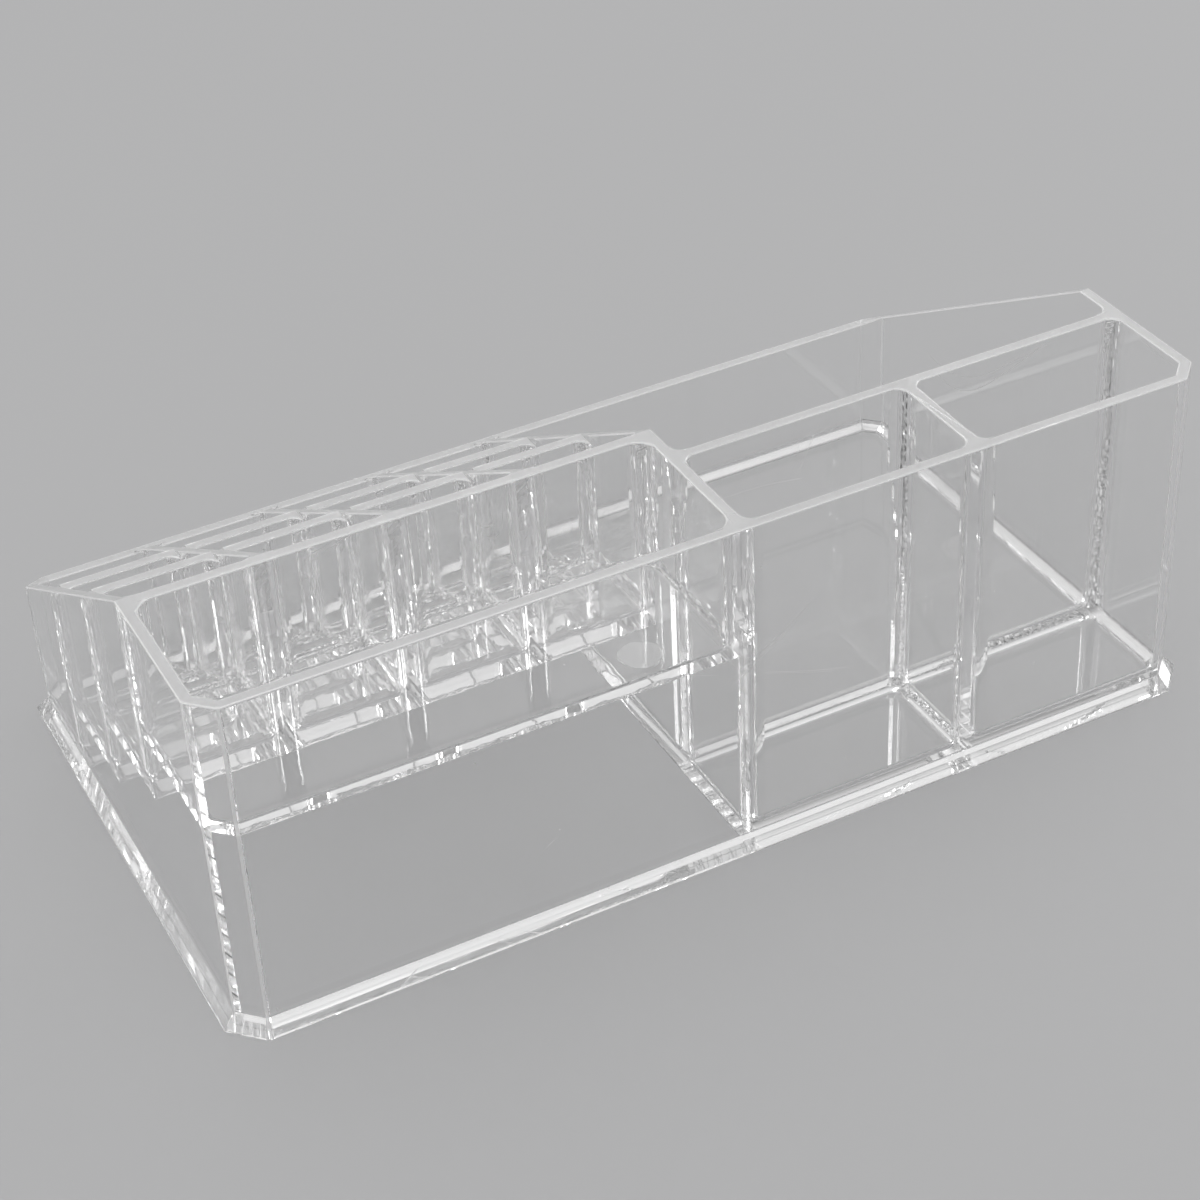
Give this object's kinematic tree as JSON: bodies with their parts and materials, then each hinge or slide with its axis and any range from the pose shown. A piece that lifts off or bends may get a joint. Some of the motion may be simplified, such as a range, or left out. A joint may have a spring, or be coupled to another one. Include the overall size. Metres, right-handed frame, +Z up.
{
  "type": "desktop organizer box",
  "caption": "Clear plastic desktop organizer with a raised tray, a stepped block of open cells, tall bins and a wide compartment under one sloping top.",
  "frame": {"origin": "centre of the footprint, on the surface that the box stands on", "axes": "+X along the length, from the cells and tray to the open bins; +Y from the tall near side to the low far side; +Z up"},
  "size_m": [0.232, 0.133, 0.0814],
  "materials": {
    "near_wall": "clear, colourless, smooth moulded plastic",
    "far_wall": "clear, colourless, smooth moulded plastic",
    "left_end_wall": "clear, colourless, smooth moulded plastic",
    "right_end_wall": "clear, colourless, smooth moulded plastic",
    "corner_near_left": "clear, colourless, smooth moulded plastic",
    "corner_near_right": "clear, colourless, smooth moulded plastic",
    "corner_far_left": "clear, colourless, smooth moulded plastic",
    "corner_far_right": "clear, colourless, smooth moulded plastic",
    "foot_rim": "clear, colourless, smooth moulded plastic",
    "cross_wall": "clear, colourless, smooth moulded plastic",
    "long_divider": "clear, colourless, smooth moulded plastic",
    "bin_divider": "clear, colourless, smooth moulded plastic",
    "base_plate": "clear, colourless, smooth moulded plastic",
    "tray_floor": "clear, colourless, smooth moulded plastic",
    "tray_back_wall": "clear, colourless, smooth moulded plastic",
    "cell_row_wall_1": "clear, colourless, smooth moulded plastic",
    "cell_row_wall_2": "clear, colourless, smooth moulded plastic",
    "cell_column_wall_1": "clear, colourless, smooth moulded plastic",
    "cell_column_wall_2": "clear, colourless, smooth moulded plastic",
    "cell_column_wall_3": "clear, colourless, smooth moulded plastic",
    "cell_floor_1": "clear, colourless, smooth moulded plastic",
    "cell_floor_2": "clear, colourless, smooth moulded plastic",
    "cell_floor_3": "clear, colourless, smooth moulded plastic"
  },
  "bodies": {
    "root": {"near_wall": "near_wall", "far_wall": "far_wall", "left_end_wall": "left_end_wall", "right_end_wall": "right_end_wall", "corner_near_left": "corner_near_left", "corner_near_right": "corner_near_right", "corner_far_left": "corner_far_left", "corner_far_right": "corner_far_right", "foot_rim": "foot_rim", "cross_wall": "cross_wall", "long_divider": "long_divider", "bin_divider": "bin_divider", "base_plate": "base_plate", "tray_floor": "tray_floor", "tray_back_wall": "tray_back_wall", "cell_row_wall_1": "cell_row_wall_1", "cell_row_wall_2": "cell_row_wall_2", "cell_column_wall_1": "cell_column_wall_1", "cell_column_wall_2": "cell_column_wall_2", "cell_column_wall_3": "cell_column_wall_3", "cell_floor_1": "cell_floor_1", "cell_floor_2": "cell_floor_2", "cell_floor_3": "cell_floor_3"}
  },
  "joints": []
}
